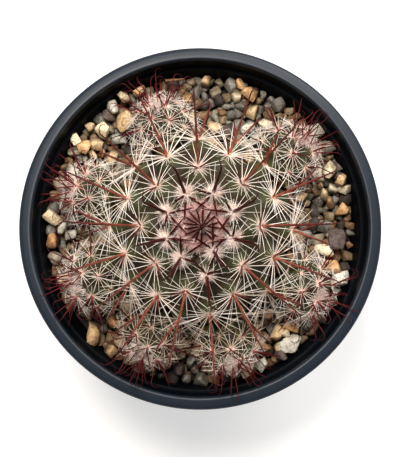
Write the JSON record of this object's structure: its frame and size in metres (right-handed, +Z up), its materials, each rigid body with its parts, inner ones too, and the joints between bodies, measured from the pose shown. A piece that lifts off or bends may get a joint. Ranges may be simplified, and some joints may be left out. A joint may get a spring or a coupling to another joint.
{
  "type": "potted fishhook cactus",
  "caption": "Round tubercled cactus with white radial and hooked central spines and a ring of pups, in a pebble-topped round nursery pot.",
  "frame": {"origin": "centre of the pot's foot, on the surface that it stands on", "axes": "+Z up along the pot's axis; -Y is the front, the bottom edge of the picture"},
  "size_m": [0.12, 0.12, 0.1385],
  "materials": {
    "pot_plastic": "satin",
    "soil": "matte",
    "pebbles": "matte",
    "stem": "matte"
  },
  "bodies": {
    "root": {"pot": "pot_plastic", "potting_mix": "soil", "gravel": "pebbles", "main_head": "stem", "pup_1": "stem", "pup_2": "stem", "pup_3": "stem", "pup_4": "stem", "pup_5": "stem", "pup_6": "stem", "pup_7": "stem"}
  },
  "joints": []
}
